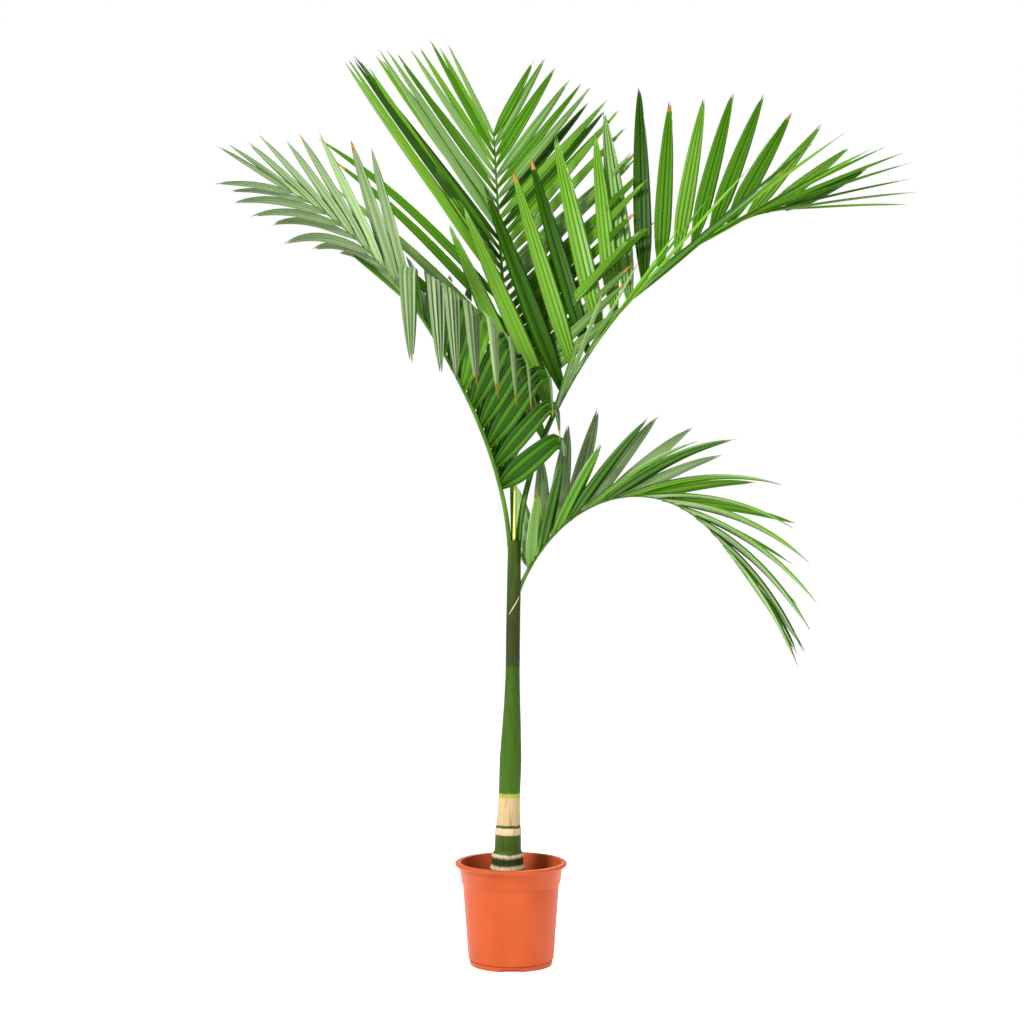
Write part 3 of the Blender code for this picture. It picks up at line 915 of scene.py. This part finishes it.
class PALM_OT_pot(bpy.types.Operator):
    """Turned pot with a rolled lip, a collar and a notched foot"""

    bl_idname = "palm.pot"
    bl_label = "Pot"

    def execute(self, context):
        lip_round = LIP_HEIGHT / 2
        lip_inner = COLLAR_TOP_RADIUS - POT_WALL
        lip_foot = POT_HEIGHT - LIP_HEIGHT
        inner_foot = body_radius(FOOT_HEIGHT) - POT_WALL
        notch_inner = FOOT_RADIUS - NOTCH_DEPTH
        step_top = COLLAR_FOOT - BODY_STEP
        step_foot = FOOT_HEIGHT + BODY_STEP
        profile = [
            (0.0, POT_FLOOR),
            (inner_foot - POT_CORNER, POT_FLOOR),
            (inner_foot, POT_FLOOR + POT_CORNER),
            (body_radius(COLLAR_FOOT) - POT_WALL, COLLAR_FOOT),
            (lip_inner, POT_HEIGHT - POT_CORNER),
            *[(lip_inner + out, POT_HEIGHT - down) for out, down in LIP_INNER_EDGE],
            *arc((LIP_RADIUS - lip_round, POT_HEIGHT - lip_round), lip_round, 90, -90, LIP_POINTS),
            (COLLAR_TOP_RADIUS + COLLAR_TOP_BEVEL[0], lip_foot),
            (COLLAR_TOP_RADIUS, lip_foot - COLLAR_TOP_BEVEL[1]),
            (COLLAR_FOOT_RADIUS, COLLAR_FOOT + COLLAR_FOOT_BEVEL[1]),
            (COLLAR_FOOT_RADIUS - COLLAR_FOOT_BEVEL[0], COLLAR_FOOT),
            (body_radius(step_top), step_top),
            (body_radius(step_foot), step_foot),
            (FOOT_RADIUS - GROOVE_DEPTH, FOOT_HEIGHT + GROOVE_HEIGHT),
            (FOOT_RADIUS - GROOVE_DEPTH, FOOT_HEIGHT),
            (FOOT_RADIUS, FOOT_HEIGHT - FOOT_BEVEL),
            (FOOT_RADIUS - FOOT_TAPER[0], NOTCH_HEIGHT),
            (FOOT_RADIUS - FOOT_TAPER[1], 0.0),
            (notch_inner, 0.0),
            (0.0, 0.0),
        ]
        profile.reverse()
        bm = bmesh.new()

        def place(turn, row):
            radius, height = profile[row]
            return (radius * cos(turn), radius * sin(turn), height)

        loft(bm, POT_SIDES, len(profile) - 1, place)
        for vert in bm.verts:
            if vert.co.z > ON_FLOOR or vert.co.xy.length <= notch_inner + NOTCH_EDGE:
                continue
            for i in range(NOTCH_COUNT):
                bearing = 2 * pi * i / NOTCH_COUNT - pi / 2 + NOTCH_TURN
                beside = -vert.co.x * sin(bearing) + vert.co.y * cos(bearing)
                ahead = vert.co.x * cos(bearing) + vert.co.y * sin(bearing)
                if ahead > 0 and abs(beside) < NOTCH_WIDTH / 2:
                    vert.co.z = NOTCH_HEIGHT - NOTCH_DROP
                    vert.co.xy *= NOTCH_SINK
        pot = finished("pot_shell", bm, [plastic_look(palm(context).pot_colour)], sharp=POT_SHARP)
        on_plant(pot, "terracotta_plastic", "pot")
        return {"FINISHED"}


class PALM_OT_soil(bpy.types.Operator):
    """Crumbly potting soil inside the pot"""

    bl_idname = "palm.soil"
    bl_label = "Soil"

    def execute(self, context):
        settings = palm(context)
        side = body_radius(SOIL_TOP) - POT_WALL - SOIL_GAP
        foot = body_radius(FOOT_HEIGHT) - POT_WALL - SOIL_FOOT_GAP
        underside = POT_FLOOR + SOIL_GAP
        top = [(side * i / SOIL_RINGS, SOIL_TOP) for i in range(SOIL_RINGS + 1)]
        profile = [*top, (foot, underside), (0.0, underside)]
        bm = bmesh.new()

        def place(turn, row):
            radius, height = profile[row]
            x, y = radius * cos(turn), radius * sin(turn)
            if height == SOIL_TOP:
                lump = noise.fractal(Vector((x, y, SOIL_NOISE_SLICE)) * SOIL_NOISE_SCALE, *SOIL_NOISE)
                height += settings.soil_relief * (lump - SOIL_NOISE_MIDDLE) - SOIL_SINK
            return (x, y, height)

        loft(bm, SOIL_SIDES, len(profile) - 1, place)
        on_plant(finished("soil_bed", bm, [soil_look(settings)]), "soil", "soil")
        return {"FINISHED"}


class PALM_OT_trunk(bpy.types.Operator):
    """Ringed trunk and smooth crownshaft, with the bark's relief in the mesh"""

    bl_idname = "palm.trunk"
    bl_label = "Trunk"

    def execute(self, context):
        low, high = TRUNK_LINE[0][0], TRUNK_LINE[-1][0]
        rows = round((high - low) / TRUNK_STEP)
        bm = bmesh.new()

        def place(turn, row):
            height = low + (high - low) * row / rows
            radius, lean = trunk_at(height)
            for ring, half, out in RINGS:
                radius += out * exp(-(((height - ring) / half) ** 2))
            x, y = cos(turn), sin(turn)
            relief = BARK_RELIEF if height < SHEATH_FOOT else SHEATH_RELIEF
            for share, around, up in BARK_NOISE:
                radius += share * relief * noise.noise(Vector((x * around, y * around, height * up)))
            return (lean + radius * x, radius * y, height)

        loft(bm, TRUNK_SIDES, rows, place)
        close_ends(bm)
        on_plant(finished("stem", bm, [trunk_look()], sharp=TRUNK_SHARP), "trunk", "trunk")
        return {"FINISHED"}


class PALM_OT_sheath_edge(bpy.types.Operator):
    """The dry cream edge where the oldest frond's sheath opens"""

    bl_idname = "palm.sheath_edge"
    bl_label = "Sheath Edge"

    def execute(self, context):
        settings = palm(context)
        heights = [point[0] for point in SHEATH_EDGE]
        across = [point[1] for point in SHEATH_EDGE]
        bm = bmesh.new()

        def place(turn, row):
            share = row / SHEATH_EDGE_ROWS
            height = heights[0] + (heights[-1] - heights[0]) * share
            x = float(np.interp(height, heights, across))
            radius, lean = trunk_at(height)
            front = -max(radius**2 - (x - lean) ** 2, 0.0) ** 0.5
            thick = SHEATH_EDGE_RADIUS * (SHEATH_EDGE_END + (1 - SHEATH_EDGE_END) * sin(pi * share))
            slant = SHEATH_EDGE_SLANT * thick * cos(turn)
            return (x + slant, front + thick * sin(turn), height - slant)

        loft(bm, SHEATH_EDGE_SIDES, SHEATH_EDGE_ROWS, place)
        close_ends(bm)
        look = streaked_look("dry_edge", settings.edge_deep, settings.edge_light)
        on_plant(finished("sheath_edge", bm, [look]), "trunk")
        return {"FINISHED"}


class PALM_OT_spear(bpy.types.Operator):
    """The unopened leaf between the stalks"""

    bl_idname = "palm.spear"
    bl_label = "Spear"

    def execute(self, context):
        settings = palm(context)
        height, _, lean = TRUNK_LINE[-1]
        bm = bmesh.new()

        def place(turn, row):
            s = row / SPEAR_ROWS
            radius = SPEAR_RADIUS * (1 - SPEAR_TAPER * s**SPEAR_CURVE)
            pleat = 1 + SPEAR_PLEAT * cos(SPEAR_PLEATS * turn)
            x = lean + radius * pleat * cos(turn) + SPEAR_BOW * sin(pi * s)
            return (x, SPEAR_FORWARD + radius * pleat * sin(turn), height + SPEAR_LENGTH * s)

        loft(bm, SPEAR_SIDES, SPEAR_ROWS, place)
        close_ends(bm)
        look = streaked_look("spear_leaf", settings.spear_light, settings.spear_deep)
        on_plant(finished("spear_leaf", bm, [look]), "spear", "spear")
        return {"FINISHED"}


class PALM_OT_fronds(bpy.types.Operator):
    """Four fronds, each a stalk and its rows of pleated leaflets"""

    bl_idname = "palm.fronds"
    bl_label = "Fronds"

    def execute(self, context):
        settings = palm(context)
        greens = leaf_looks(settings)
        stalk = streaked_look("frond_stalk", settings.stalk_deep, settings.stalk_light)
        for frond in FRONDS:
            rib = Rib(frond)
            bm = bmesh.new()
            add_rib(bm, rib)
            on_plant(finished(f"stalk_{frond.name}", bm, [stalk]), "foliage", *frond.nodes)
            rng = np.random.default_rng(frond.seed)
            looks_rng = np.random.default_rng(frond.seed + LOOKS_SEED)
            bm = bmesh.new()
            for row in frond.rows:
                for i in range(row.count):
                    chance = rng.normal(0.0, 1.0, len(CHANCE)) * CHANCE
                    add_leaflet(bm, rib, row, i / (row.count - 1), chance, looks_rng, settings)
            leaflets = finished(f"leaflets_{frond.name}", bm, greens, sharp=BLADE_SHARP, recalculate=False)
            shell = leaflets.modifiers.new("Thickness", "SOLIDIFY")
            shell.thickness = settings.blade_thickness
            shell.offset = 0.0
            shell.material_offset = LOOK_COUNT
            shell.material_offset_rim = 0
            on_plant(leaflets, "foliage", *frond.nodes)
        return {"FINISHED"}


class PALM_PT_panel(bpy.types.Panel):
    """Lists the sizes, the colours and one button for each step."""

    bl_idname = "PALM_PT_panel"
    bl_label = "Betel Nut Palm"
    bl_space_type = "VIEW_3D"
    bl_region_type = "UI"
    bl_category = "Palm"

    def draw(self, context):
        for name in PalmSettings.__annotations__:
            self.layout.prop(palm(context), name)
        for step in STEPS:
            self.layout.operator(step.bl_idname)


STEPS = (
    PALM_OT_stage,
    PALM_OT_pot,
    PALM_OT_soil,
    PALM_OT_trunk,
    PALM_OT_sheath_edge,
    PALM_OT_spear,
    PALM_OT_fronds,
)
CLASSES = (PalmSettings, *STEPS, PALM_PT_panel)


def register():
    for made in CLASSES:
        bpy.utils.register_class(made)
    bpy.types.Scene.palm = bpy.props.PointerProperty(type=PalmSettings)


def unregister():
    del bpy.types.Scene.palm
    for made in reversed(CLASSES):
        bpy.utils.unregister_class(made)


def main():
    register()
    bpy.ops.palm.stage()
    bpy.ops.palm.pot()
    bpy.ops.palm.soil()
    bpy.ops.palm.trunk()
    bpy.ops.palm.sheath_edge()
    bpy.ops.palm.spear()
    bpy.ops.palm.fronds()


if __name__ == "__main__":
    main()
